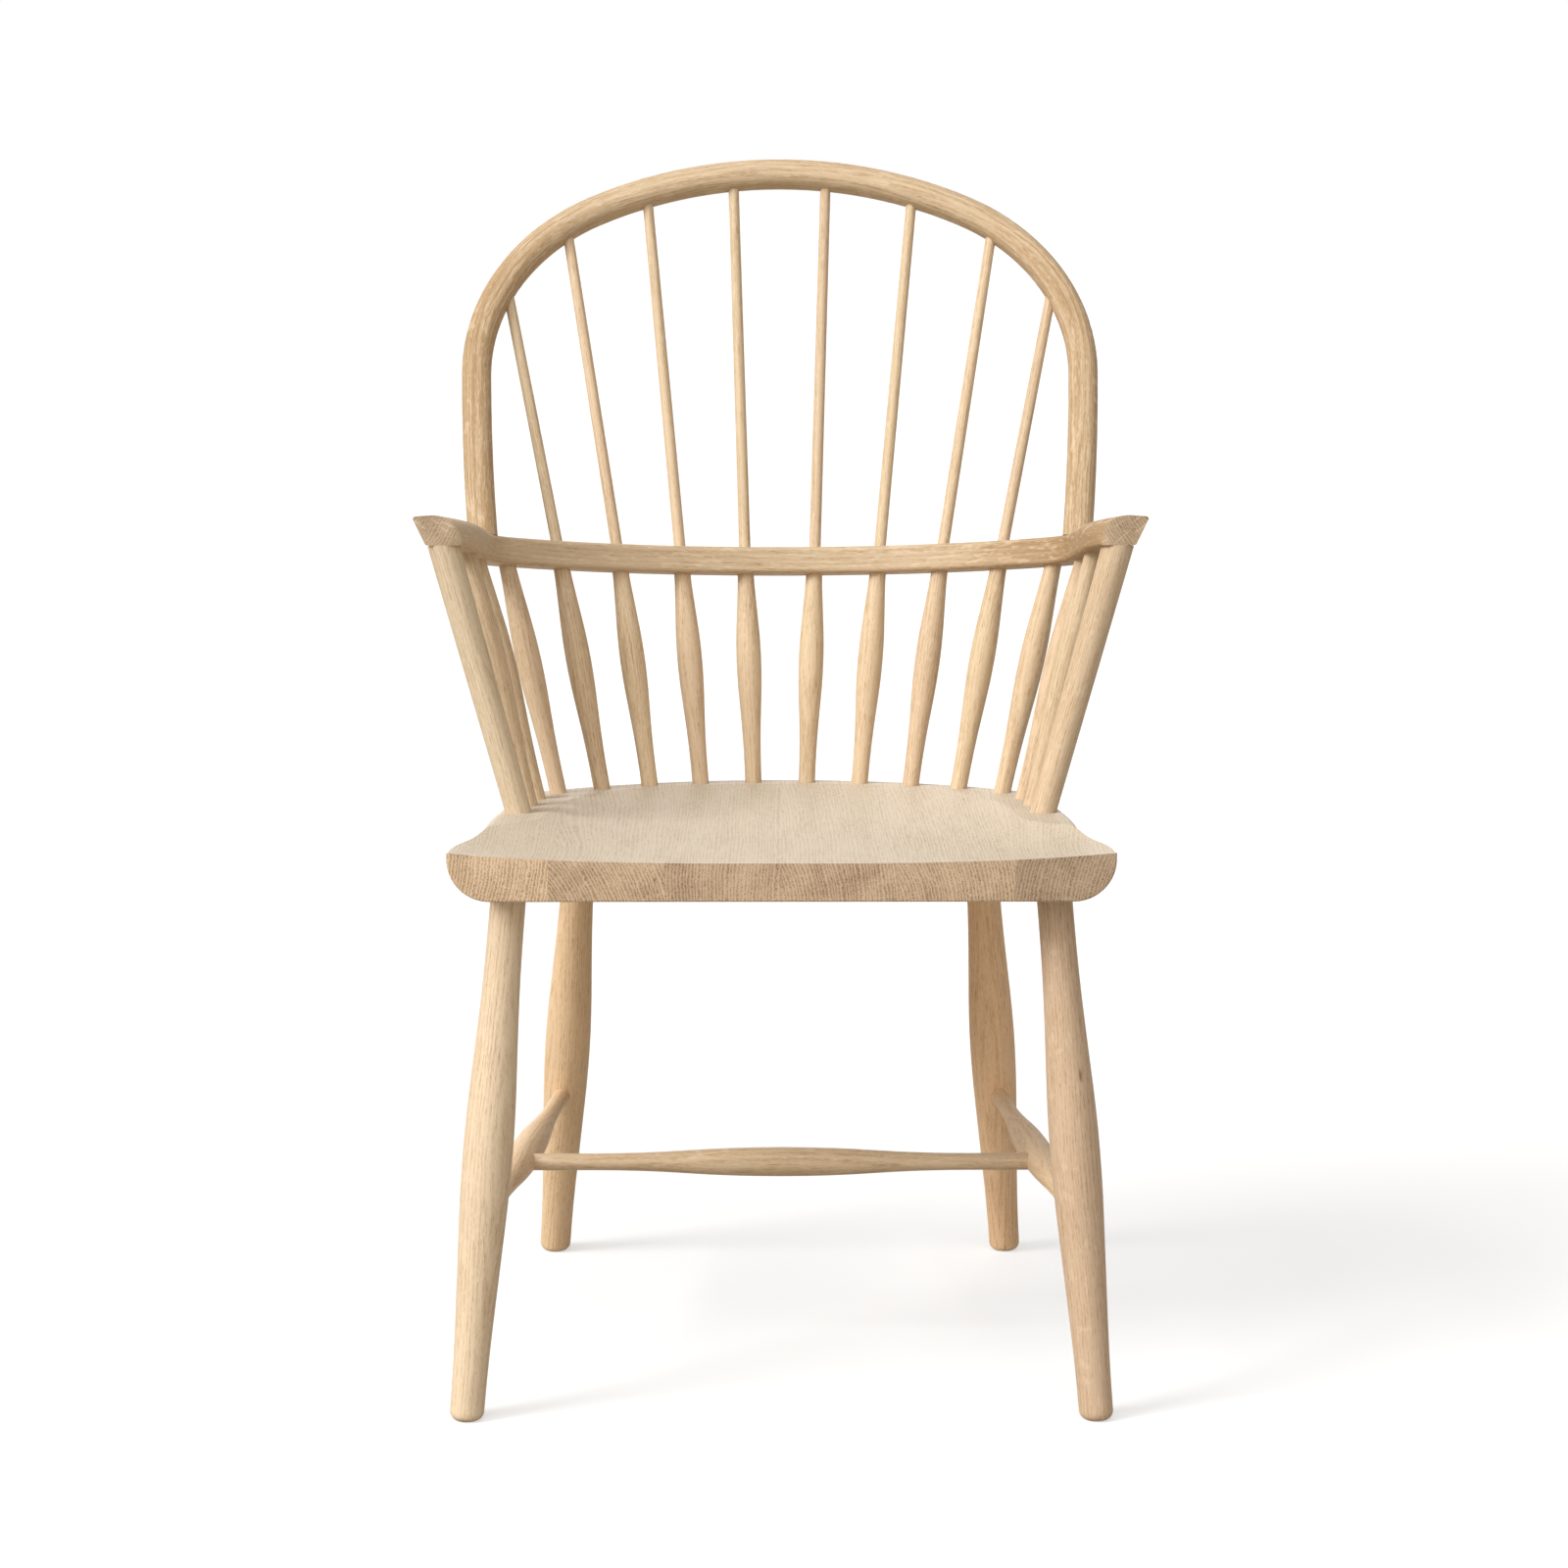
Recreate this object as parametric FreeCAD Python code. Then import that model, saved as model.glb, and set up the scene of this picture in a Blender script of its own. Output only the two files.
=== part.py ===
import FreeCAD, Part
import math
import os

# Bow-back windsor armchair in solid oak, in millimetres.
# The chair faces -Y, so the sitter's left side is +X.
# It stands on Z = 0, and the origin is under the middle of its bounding box.
# While it is being modelled, Y = 0 is the line through the two front feet.

# Seat: a slab of glued staves, tilted back
stave_count = 6
stave_width = 90.0
seat_thickness = 45.0
seat_front_y = -15.0
seat_front_height = 465.0
seat_tilt = 2.86
seat_edge_margin = 22.0
seat_top_rounding = 8.0
seat_underside_rounding = 33.0
seat_front_rounding = 1.5
seat_side_radius = 940.0
wing_radius = 84.0
wing_turn = 28.6

# Dished top of the seat: distance behind the front edge, depth, half width of the cut
dish_stations = [
    (-30.0, 15.0, 350.0),
    (0.0, 15.0, 366.0),
    (32.0, 15.8, 402.0),
    (75.0, 16.5, 352.0),
    (140.0, 16.5, 232.0),
    (205.0, 15.5, 218.0),
    (280.0, 13.5, 208.0),
    (340.0, 9.0, 184.0),
    (385.0, 3.0, 138.0),
    (408.0, -3.0, 110.0),
]
dish_lift = 8.0
dish_cutter_height = 20.0
dish_exponent = 3.0
dish_section_steps = 4

# Line on the seat along which the spindles and arm posts stand
spindle_line_back = 411.5
spindle_line_radius = 270.5
spindle_line_turn = 44.0
spindle_corner_radius = 50.0
spindle_corner_turn = 41.0
spindle_side_length = 106.5
seat_spindle_pitch = 46.3

# Legs
front_foot_spread = 249.3
back_foot_spread = 203.7
foot_depth = 490.0
front_leg_top_spread = 213.5
back_leg_top_spread = 171.5
front_leg_top_depth = 53.0
back_leg_top_depth = 365.0
leg_top_diameter = 28.0
leg_middle_diameter = 39.4
leg_foot_diameter = 27.0
leg_tenon_length = 21.0
foot_edge_rounding = 7.0

# Corners of a leg's profile, as shares of its length from the floor to the seat
leg_foot_end = 0.094
leg_belly_start = 0.447
leg_belly_end = 0.57
leg_neck_start = 0.846

# Stretchers
front_stretcher_height = 157.0
back_stretcher_height = 161.0
stretcher_end_diameter = 14.0
side_stretcher_middle_diameter = 27.0
cross_stretcher_middle_diameter = 24.2
cross_stretcher_share = 0.43

# Corners of a stretcher's profile, as shares of its length, the same from both ends
stretcher_end_share = 0.23
stretcher_belly_share = 0.406

# Wood left between a stretcher's end and the axis of the piece that it enters
leg_core = 3.0
stretcher_core = 2.5

# Arm rail: a bent rail in a plane that rises towards the front
rail_middle_y = 440.0
rail_middle_height = 631.5
rail_tilt = 11.9
rail_width = 30.0
rail_height = 23.0
rail_rounding = 4.0
rail_back_radius = 355.0
rail_back_turn = 41.3
rail_corner_radius = 65.0
rail_corner_turn = 44.7
rail_side_length = 60.0
rail_flare_radius = 200.0
rail_centre_gap = 60.4
rail_spindle_pitch = 56.4
rail_end_overhang = 13.0

# End face of an arm, measured from the rail's centre line in the plane of the face
horn_face_turn = 4.0
horn_tip_reach = 20.6
horn_tip_height = 12.0
horn_tip_radius = 2.0
horn_foot_reach = 9.0
horn_inner_reach = 18.6
horn_crown_height = 14.5
horn_crown_radius = 22.0
horn_edge_radius = 2.5
horn_inner_rounding = 11.0

# How far the rail's section has become the flared one, at even steps to its end
flare_shares = [0.0, 0.06, 0.28, 0.62, 1.0]

# Arm posts
post_top_diameter = 25.4
post_base_diameter = 21.0
post_tenon_diameter = 14.0
post_tenon_length = 14.0
post_socket_in_seat = 20.0
post_outset = 2.2

# Short spindles between the seat and the arm rail
short_spindle_count = 7
spindle_end_diameter = 14.2
spindle_bulge_diameter = 21.4
spindle_tenon_in_seat = 18.0
spindle_tenon_in_rail = 10.0
spindle_neck = 6.0

# Corners of a short spindle's profile, as shares of its length between the necks
spindle_swell_start = 0.152
spindle_bulge_start = 0.505
spindle_bulge_end = 0.679

# Thin sticks between the arm rail and the bow
back_stick_count = 4
stick_bottom_diameter = 10.0
stick_top_diameter = 9.0
stick_tenon_in_rail = 10.0
stick_tenon_in_bow = 11.0

# Bow: a bent hoop in a raked plane
bow_rake = 35.2
bow_height = 363.2
bow_foot_station = 5.5
bow_width = 25.0
bow_depth = 24.0
bow_rounding = 10.0
bow_top_radius = 358.0
bow_top_turn = 27.0
bow_shoulder_radius = 180.0
bow_shoulder_turn = 64.6
bow_centre_gap = 81.6
bow_stick_pitch = 78.0
bow_tenon_diameter = 17.0
bow_tenon_length = 15.0

# Room for glue round a round tenon and at the bottom of its socket
glue_gap = 0.1
socket_bottom_gap = 0.5

# Length by which cutting tools run past what they cut, and the side of large cutters
over_cut = 60.0
cutter_side = 1400.0

# Distance within which an edge counts as lying on a plane
on_plane = 0.01


def vector(x, y, z):
    return FreeCAD.Vector(x, y, z)


def tilted_frame(y, z, degrees):
    # A frame on the middle plane, turned back about X
    turn = FreeCAD.Rotation(vector(1, 0, 0), -degrees)
    return FreeCAD.Placement(vector(0, y, z), turn)


def follow(segments, distance):
    # Point and heading at a distance along straight and bent segments.
    # The path starts at the origin along +x, and a positive radius turns towards -y.
    x = 0.0
    y = 0.0
    heading = 0.0
    left = distance
    last = len(segments) - 1
    for index, (length, radius) in enumerate(segments):
        run = left if index == last else min(left, length)
        if radius is None:
            x += run * math.cos(heading)
            y -= run * math.sin(heading)
        else:
            turned = heading + run / radius
            x += radius * (math.sin(turned) - math.sin(heading))
            y -= radius * (math.cos(heading) - math.cos(turned))
            heading = turned
        left -= run
        if left <= 0:
            break
    return x, y, heading


def at_level(frame, start, end, height):
    # Point on the line from start to end, at a height over a frame's level plane
    inverse = frame.inverse()
    low = inverse.multVec(start).z
    high = inverse.multVec(end).z
    return start + (end - start) * ((height - low) / (high - low))


def path_length(segments):
    return sum(length for length, radius in segments)


def arc_length(radius, degrees):
    return abs(radius) * math.radians(degrees)


def path_edges(segments, place):
    # Lines and tangent arcs along the segments, placed by a function of x and y
    edges = []
    start = 0.0
    for length, radius in segments:
        first = place(*follow(segments, start)[:2])
        middle = place(*follow(segments, start + length / 2)[:2])
        end = place(*follow(segments, start + length)[:2])
        if radius is None:
            edges.append(Part.LineSegment(first, end).toShape())
        else:
            edges.append(Part.Arc(first, middle, end).toShape())
        start += length
    return edges


def side_directions(before, corner, after):
    # Unit vectors from a corner towards the points before and after it
    back = before - corner
    ahead = after - corner
    back.normalize()
    ahead.normalize()
    return back, ahead


def rounded_corner(before, corner, after, setback):
    # Start, middle and end of the arc that rounds a corner, tangent to both sides
    back, ahead = side_directions(before, corner, after)
    turn = math.pi - back.getAngle(ahead)
    bisector = back + ahead
    bisector.normalize()
    middle = corner + bisector * (setback * math.tan(turn / 4))
    return corner + back * setback, middle, corner + ahead * setback


def rounded_polygon(corners, radii, place):
    # A closed wire through 2-D corners, each rounded by its own radius
    count = len(corners)
    arcs = []
    for index in range(count):
        before = corners[index - 1]
        corner = corners[index]
        after = corners[(index + 1) % count]
        back, ahead = side_directions(before, corner, after)
        setback = radii[index] / math.tan(back.getAngle(ahead) / 2)
        arcs.append([place(point) for point in rounded_corner(before, corner, after, setback)])
    edges = []
    for index, (start, middle, end) in enumerate(arcs):
        following = arcs[(index + 1) % count][0]
        edges.append(Part.Arc(start, middle, end).toShape())
        edges.append(Part.LineSegment(end, following).toShape())
    return Part.Wire(edges)


def round_bar(start, end, diameter):
    return Part.makeCylinder(diameter / 2, (end - start).Length, start, end - start)


def socket_tool(bottom, mouth, diameter):
    # Hole for a round tenon, from its bottom out through the mouth
    along = mouth - bottom
    along.normalize()
    deepest = bottom - along * socket_bottom_gap
    return round_bar(deepest, mouth + along * over_cut, diameter + 2 * glue_gap)


def turned(start, end, profile):
    # A turned piece from start to end; profile lists distance from start and diameter.
    # An arc rounds each corner of the profile over half of the shorter run beside it.
    corners = [vector(diameter / 2, 0, distance) for distance, diameter in profile]
    axis_start = vector(0, 0, corners[0].z)
    axis_end = vector(0, 0, corners[-1].z)
    edges = [Part.LineSegment(axis_start, corners[0]).toShape()]
    here = corners[0]
    for index in range(1, len(corners) - 1):
        before, corner, after = corners[index - 1:index + 2]
        setback = min((corner - before).Length, (after - corner).Length) / 2
        first, middle, last = rounded_corner(before, corner, after, setback)
        if (first - here).Length > on_plane:
            edges.append(Part.LineSegment(here, first).toShape())
        edges.append(Part.Arc(first, middle, last).toShape())
        here = last
    edges.append(Part.LineSegment(here, corners[-1]).toShape())
    edges.append(Part.LineSegment(corners[-1], axis_end).toShape())
    edges.append(Part.LineSegment(axis_end, axis_start).toShape())
    outline = Part.Face(Part.Wire(edges))
    solid = outline.revolve(axis_start, vector(0, 0, 1), 360)
    turn = FreeCAD.Rotation(vector(0, 0, 1), end - start)
    solid.Placement = FreeCAD.Placement(start, turn)
    return solid


def mirrored(shape):
    return shape.mirror(vector(0, 0, 0), vector(1, 0, 0))


def one_solid(shape):
    return shape.Solids[0]


# Frames of the seat, the arm rail and the bow
seat_frame = tilted_frame(seat_front_y, seat_front_height, seat_tilt)
rail_frame = tilted_frame(rail_middle_y, rail_middle_height, rail_tilt)

spindle_line = [
    (arc_length(spindle_line_radius, spindle_line_turn), spindle_line_radius),
    (arc_length(spindle_corner_radius, spindle_corner_turn), spindle_corner_radius),
    (spindle_side_length, None),
]

rail_line = [
    (arc_length(rail_back_radius, rail_back_turn), rail_back_radius),
    (arc_length(rail_corner_radius, rail_corner_turn), rail_corner_radius),
    (rail_side_length, None),
]


def seat_point(station, depth):
    # Point under the deck at a station of the spindle line, 1 for the middle spindle
    x, y, heading = follow(spindle_line, (station - 0.5) * seat_spindle_pitch)
    return seat_frame.multVec(vector(x, spindle_line_back + y, -depth))


post_station = short_spindle_count + 1
rail_post_distance = rail_centre_gap / 2 + (post_station - 1) * rail_spindle_pitch
rail_end_distance = rail_post_distance + rail_end_overhang
rail_flare_length = rail_end_distance - path_length(rail_line)
rail_line.append((rail_flare_length, -rail_flare_radius))


def rail_distance(station):
    return rail_centre_gap / 2 + (station - 1) * rail_spindle_pitch


def rail_point(station, height):
    # Point of the rail at a station, by its height over the rail's middle plane
    x, y, heading = follow(rail_line, rail_distance(station))
    return rail_frame.multVec(vector(x, y, height))


# Bow path: a top arc, a shoulder arc and a nearly straight side down to the rail
def bow_path():
    foot_x = follow(rail_line, rail_distance(bow_foot_station))[0]
    segments = [
        (arc_length(bow_top_radius, bow_top_turn), bow_top_radius),
        (arc_length(bow_shoulder_radius, bow_shoulder_turn), bow_shoulder_radius),
    ]
    x, y, heading = follow(segments, path_length(segments))
    across = foot_x - x
    down = y + bow_height
    chord = math.hypot(across, down)
    turn = math.atan2(down, across) - heading
    radius = chord / (2 * math.sin(turn))
    segments.append((2 * turn * radius, radius))
    segments.append((over_cut, None))
    return segments


bow_line = bow_path()
bow_foot = rail_point(bow_foot_station, rail_height / 2)
bow_frame = tilted_frame(bow_foot.y, bow_foot.z, bow_rake)


def bow_place(x, y):
    return bow_frame.multVec(vector(x, 0, bow_height + y))


def bow_point(station):
    # Point on the bow's centre line for a back stick, 1 for the middle one
    distance = bow_centre_gap / 2 + (station - 1) * bow_stick_pitch
    return bow_place(*follow(bow_line, distance)[:2])


def cutter(centre):
    # A large cube about a centre
    corner = centre - vector(1, 1, 1) * (cutter_side / 2)
    return Part.makeBox(cutter_side, cutter_side, cutter_side, corner)


def make_seat():
    # Outline: parallel to the spindle line, then straight, then swept out to the wings
    back = spindle_line_radius + seat_edge_margin
    corner = spindle_corner_radius + seat_edge_margin
    side_turn = 90.0 - spindle_line_turn - spindle_corner_turn
    outline = [
        (arc_length(back, spindle_line_turn), back),
        (arc_length(corner, spindle_corner_turn), corner),
        (spindle_side_length, None),
        (arc_length(seat_side_radius, side_turn), seat_side_radius),
        (arc_length(wing_radius, wing_turn), -wing_radius),
        (arc_length(wing_radius, wing_turn), wing_radius),
        (over_cut, None),
    ]
    back_edge = spindle_line_back + seat_edge_margin

    def place(x, y):
        return vector(x, back_edge + y, -seat_thickness)

    right = path_edges(outline, place)
    left = [mirrored(edge) for edge in right]
    end = place(*follow(outline, path_length(outline))[:2])
    front = Part.LineSegment(end, vector(-end.x, end.y, end.z)).toShape()
    wire = Part.Wire(Part.__sortEdges__(right + left + [front]))
    slab = Part.Face(wire).extrude(vector(0, 0, seat_thickness))
    if slab.Volume < 0:
        slab.reverse()

    def outline_edges(shape, height):
        found = []
        for edge in shape.Edges:
            box = edge.BoundBox
            level = abs(box.ZMin - height) < on_plane and abs(box.ZMax - height) < on_plane
            if level and box.YMax > end.y + on_plane:
                found.append(edge)
        return found

    slab = slab.makeFillet(seat_underside_rounding, outline_edges(slab, -seat_thickness))
    slab = slab.makeFillet(seat_top_rounding, outline_edges(slab, 0.0))
    slab = slab.cut(cutter(vector(0, -cutter_side / 2, 0)))
    bottom_front = [
        edge for edge in slab.Edges
        if edge.BoundBox.YMax < on_plane and edge.BoundBox.ZMax < on_plane - seat_thickness
    ]
    slab = slab.makeFillet(seat_front_rounding, bottom_front)
    return slab.cut(make_dish())


def make_dish():
    # Cutter for the dished top, lofted through cross sections from front to back
    sections = []
    for distance, depth, half_width in dish_stations:
        points = []
        for step in range(-dish_section_steps, dish_section_steps + 1):
            share = step / dish_section_steps
            rise = (depth + dish_lift) * abs(share) ** dish_exponent
            points.append(vector(half_width * share, distance, rise - depth))
        curve = Part.BSplineCurve()
        curve.interpolate(points)
        right = vector(half_width, distance, dish_cutter_height)
        left = vector(-half_width, distance, dish_cutter_height)
        sections.append(Part.Wire([
            curve.toShape(),
            Part.LineSegment(points[-1], right).toShape(),
            Part.LineSegment(right, left).toShape(),
            Part.LineSegment(left, points[0]).toShape(),
        ]))
    return Part.makeLoft(sections, True, False)


def rectangle_corners(width, height):
    return [
        vector(-width / 2, -height / 2, 0),
        vector(width / 2, -height / 2, 0),
        vector(width / 2, height / 2, 0),
        vector(-width / 2, height / 2, 0),
    ]


def behind_arm_end():
    # Upright prism that rounds the inner corner between an arm's side and its end face
    x, y, heading = follow(rail_line, rail_end_distance)
    turn = math.radians(horn_face_turn)
    outward = vector(math.cos(turn), math.sin(turn), 0)
    backward = vector(-math.cos(heading), math.sin(heading), 0)
    corner = vector(x, y, -cutter_side / 2) - outward * horn_inner_reach
    beside = corner + outward * cutter_side
    behind = corner + backward * cutter_side
    half_angle = backward.getAngle(outward) / 2
    setback = horn_inner_rounding / math.tan(half_angle)
    start, middle, end = rounded_corner(behind, corner, beside, setback)
    opposite = beside + backward * cutter_side
    outline = Part.Wire([
        Part.LineSegment(behind, start).toShape(),
        Part.Arc(start, middle, end).toShape(),
        Part.LineSegment(end, beside).toShape(),
        Part.LineSegment(beside, opposite).toShape(),
        Part.LineSegment(opposite, behind).toShape(),
    ])
    return Part.Face(outline).extrude(vector(0, 0, cutter_side))


def make_rail():
    # Half a rail: the bent part by sweep, the flared end by loft, then mirrored
    half_height = rail_height / 2
    plain = rectangle_corners(rail_width, rail_height)
    horn = [
        vector(-horn_inner_reach, -half_height, 0),
        vector(horn_foot_reach, -half_height, 0),
        vector(horn_tip_reach, horn_tip_height, 0),
        vector(-horn_inner_reach, horn_crown_height, 0),
    ]
    plain_radii = [rail_rounding] * 4
    horn_radii = [horn_edge_radius, horn_edge_radius, horn_tip_radius, horn_crown_radius]

    def section(distance, share):
        x, y, heading = follow(rail_line, distance)
        corners = []
        radii = []
        for index in range(4):
            corners.append(plain[index] * (1 - share) + horn[index] * share)
            radii.append(plain_radii[index] * (1 - share) + horn_radii[index] * share)
        square = math.pi / 2 - heading
        turn = square * (1 - share) + math.radians(horn_face_turn) * share
        outward = vector(math.cos(turn), math.sin(turn), 0)

        def place(point):
            return vector(x, y, point.y) + outward * point.x

        return rounded_polygon(corners, radii, place)

    flare_start = path_length(rail_line[:2]) + rail_side_length / 2
    sweep_line = rail_line[:2] + [(rail_side_length / 2, None)]
    spine = Part.Wire(path_edges(sweep_line, lambda x, y: vector(x, y, 0)))
    bent = spine.makePipeShell([section(0.0, 0.0)], True, False)
    sections = []
    for index, share in enumerate(flare_shares):
        run = (rail_end_distance - flare_start) * index / (len(flare_shares) - 1)
        sections.append(section(flare_start + run, share))
    flared = Part.makeLoft(sections, True, False).common(behind_arm_end())
    half = bent.fuse(flared)
    rail = half.fuse(mirrored(half)).removeSplitter()
    rail.Placement = rail_frame
    return one_solid(rail)


def below_rail():
    # Everything under the top face of the arm rail
    box = cutter(vector(0, 0, (rail_height - cutter_side) / 2))
    box.Placement = rail_frame
    return box


def above_rail_underside():
    box = cutter(vector(0, 0, (cutter_side - rail_height) / 2))
    box.Placement = rail_frame
    return box


def make_bow():
    # Rounded section swept along half the bow, mirrored, with round tenons at its feet
    start = bow_place(0, 0)
    depth_way = bow_frame.Rotation.multVec(vector(0, 1, 0))
    up_way = bow_frame.Rotation.multVec(vector(0, 0, 1))
    corners = rectangle_corners(bow_width, bow_depth)
    radii = [bow_rounding] * 4

    def place(point):
        return start + up_way * point.x + depth_way * point.y

    spine = Part.Wire(path_edges(bow_line, bow_place))
    half = spine.makePipeShell([rounded_polygon(corners, radii, place)], True, False)
    half = half.cut(below_rail())
    tenon = round_bar(*bow_tenon_ends(), bow_tenon_diameter)
    half = half.fuse(tenon)
    bow = half.fuse(mirrored(half)).removeSplitter()
    return one_solid(bow)


def bow_tenon_ends():
    # Bottom of the tenon and a point inside the bow, on the line of the bow's end
    foot_distance = path_length(bow_line[:-1])
    foot = bow_place(*follow(bow_line, foot_distance)[:2])
    below = bow_place(*follow(bow_line, foot_distance + bow_tenon_length)[:2])
    inside = foot + (foot - below)
    return below, inside


def make_leg(foot, top):
    # A turned leg from the floor up to the end of its tenon in the seat
    along = top - foot
    visible = along.Length
    along.normalize()
    below_floor = over_cut / 2
    start = foot - along * below_floor
    end = top + along * leg_tenon_length
    profile = [
        (0.0, leg_foot_diameter),
        (below_floor + visible * leg_foot_end, leg_foot_diameter),
        (below_floor + visible * leg_belly_start, leg_middle_diameter),
        (below_floor + visible * leg_belly_end, leg_middle_diameter),
        (below_floor + visible * leg_neck_start, leg_top_diameter),
        ((end - start).Length, leg_top_diameter),
    ]
    leg = turned(start, end, profile)
    leg = one_solid(leg.cut(cutter(vector(0, 0, -cutter_side / 2))))
    rim = [edge for edge in leg.Edges if edge.BoundBox.ZMax < on_plane]
    return one_solid(leg.makeFillet(foot_edge_rounding, rim))


def underside_point(x, distance):
    return seat_frame.multVec(vector(x, distance, -seat_thickness))


def shortened(start, end, start_core, end_core):
    # The line between two axes, stopped short of each
    along = end - start
    along.normalize()
    return start + along * start_core, end - along * end_core


def make_stretcher(start, end, middle_diameter):
    length = (end - start).Length
    profile = [
        (0.0, stretcher_end_diameter),
        (length * stretcher_end_share, stretcher_end_diameter),
        (length * stretcher_belly_share, middle_diameter),
        (length * (1 - stretcher_belly_share), middle_diameter),
        (length * (1 - stretcher_end_share), stretcher_end_diameter),
        (length, stretcher_end_diameter),
    ]
    return turned(start, end, profile)


def make_short_spindle(bottom, top):
    length = (top - bottom).Length
    low = spindle_tenon_in_seat + spindle_neck
    high = length - spindle_tenon_in_rail - spindle_neck
    run = high - low
    profile = [
        (0.0, spindle_end_diameter),
        (low + run * spindle_swell_start, spindle_end_diameter),
        (low + run * spindle_bulge_start, spindle_bulge_diameter),
        (low + run * spindle_bulge_end, spindle_bulge_diameter),
        (high, spindle_end_diameter),
        (length, spindle_end_diameter),
    ]
    return turned(bottom, top, profile)


def make_back_stick(bottom, top):
    return Part.makeCone(
        stick_bottom_diameter / 2,
        stick_top_diameter / 2,
        (top - bottom).Length,
        bottom,
        top - bottom,
    )


def make_post(base, top):
    # Tapered post: its base fills the seat's socket, its top stops under the arm
    along = top - base
    visible = along.Length
    along.normalize()
    taper = (post_top_diameter - post_base_diameter) / visible
    full = visible + rail_height
    cone = Part.makeCone(
        post_base_diameter / 2,
        (post_base_diameter + taper * full) / 2,
        full,
        base,
        along,
    )
    foot = round_bar(base - along * post_socket_in_seat, base, post_base_diameter)
    body = cone.cut(above_rail_underside()).fuse(foot)
    tenon_reach = along * post_tenon_length
    tenon = round_bar(top - tenon_reach, top + tenon_reach, post_tenon_diameter)
    return one_solid(body.fuse(tenon).removeSplitter())


def build():
    pieces = {}
    sockets = {"seat": [], "rail": [], "bow": []}

    # Short spindles and back sticks, from the middle of the back outwards
    for station in range(1, short_spindle_count + 1):
        foot = seat_point(station, 0)
        head = rail_point(station, 0)
        along = head - foot
        along.normalize()
        underside = at_level(rail_frame, foot, head, -rail_height / 2)
        bottom = foot - along * spindle_tenon_in_seat
        top = underside + along * spindle_tenon_in_rail
        spindle = make_short_spindle(bottom, top)
        pieces["short_spindle_left_%d" % station] = spindle
        pieces["short_spindle_right_%d" % station] = mirrored(spindle)
        sockets["seat"].append(socket_tool(bottom, foot, spindle_end_diameter))
        sockets["rail"].append(socket_tool(top, underside, spindle_end_diameter))
        if station <= back_stick_count:
            target = bow_point(station)
            rise = target - head
            rise.normalize()
            rail_mouth = at_level(rail_frame, head, target, rail_height / 2)
            bow_mouth = target - rise * (bow_width / 2)
            low = rail_mouth - rise * stick_tenon_in_rail
            high = bow_mouth + rise * stick_tenon_in_bow
            stick = make_back_stick(low, high)
            pieces["back_stick_left_%d" % station] = stick
            pieces["back_stick_right_%d" % station] = mirrored(stick)
            sockets["rail"].append(socket_tool(low, rail_mouth, stick_bottom_diameter))
            sockets["bow"].append(socket_tool(high, bow_mouth, stick_top_diameter))

    # Arm posts
    base = seat_point(post_station, 0) + vector(post_outset, 0, 0)
    top = rail_point(post_station, -rail_height / 2)
    post = make_post(base, top)
    along = top - base
    along.normalize()
    pieces["arm_post_left"] = post
    pieces["arm_post_right"] = mirrored(post)
    bottom = base - along * post_socket_in_seat
    sockets["seat"].append(socket_tool(bottom, base, post_base_diameter))
    tenon_end = top + along * post_tenon_length
    sockets["rail"].append(socket_tool(tenon_end, top, post_tenon_diameter))

    # Bow and arm rail
    below, inside = bow_tenon_ends()
    sockets["rail"].append(socket_tool(below, inside, bow_tenon_diameter))
    bow = make_bow()
    for tool in sockets["bow"]:
        bow = bow.cut(tool)
        bow = bow.cut(mirrored(tool))
    rail = make_rail()
    for tool in sockets["rail"]:
        rail = rail.cut(tool)
        rail = rail.cut(mirrored(tool))
    pieces["bow"] = one_solid(bow)
    pieces["arm_rail"] = one_solid(rail)

    # Legs and stretchers
    front_foot = vector(front_foot_spread, 0, 0)
    back_foot = vector(back_foot_spread, foot_depth, 0)
    front_top = underside_point(front_leg_top_spread, front_leg_top_depth)
    back_top = underside_point(back_leg_top_spread, back_leg_top_depth)
    floor = FreeCAD.Placement()
    front_joint = at_level(floor, front_foot, front_top, front_stretcher_height)
    back_joint = at_level(floor, back_foot, back_top, back_stretcher_height)
    side_ends = shortened(front_joint, back_joint, leg_core, leg_core)
    side = make_stretcher(*side_ends, side_stretcher_middle_diameter)
    crossing = front_joint + (back_joint - front_joint) * cross_stretcher_share
    other = vector(-crossing.x, crossing.y, crossing.z)
    cross_ends = shortened(crossing, other, stretcher_core, stretcher_core)
    side = side.cut(socket_tool(cross_ends[0], vector(0, crossing.y, crossing.z),
                                stretcher_end_diameter))
    pieces["side_stretcher_left"] = one_solid(side)
    pieces["side_stretcher_right"] = one_solid(mirrored(side))
    pieces["cross_stretcher"] = make_stretcher(*cross_ends, cross_stretcher_middle_diameter)
    leg_ends = {"front": (front_foot, front_top), "back": (back_foot, back_top)}
    holes = {"front": (side_ends[0], side_ends[1]), "back": (side_ends[1], side_ends[0])}
    for name, (foot, top) in leg_ends.items():
        leg = make_leg(foot, top)
        bottom, mouth = holes[name]
        along = mouth - bottom
        along.normalize()
        mouth = bottom + along * (leg_middle_diameter / 2)
        leg = leg.cut(socket_tool(bottom, mouth, stretcher_end_diameter))
        pieces["leg_%s_left" % name] = one_solid(leg)
        pieces["leg_%s_right" % name] = one_solid(mirrored(leg))
        along = top - foot
        along.normalize()
        tenon_end = top + along * leg_tenon_length
        sockets["seat"].append(socket_tool(tenon_end, top, leg_top_diameter))

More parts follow.
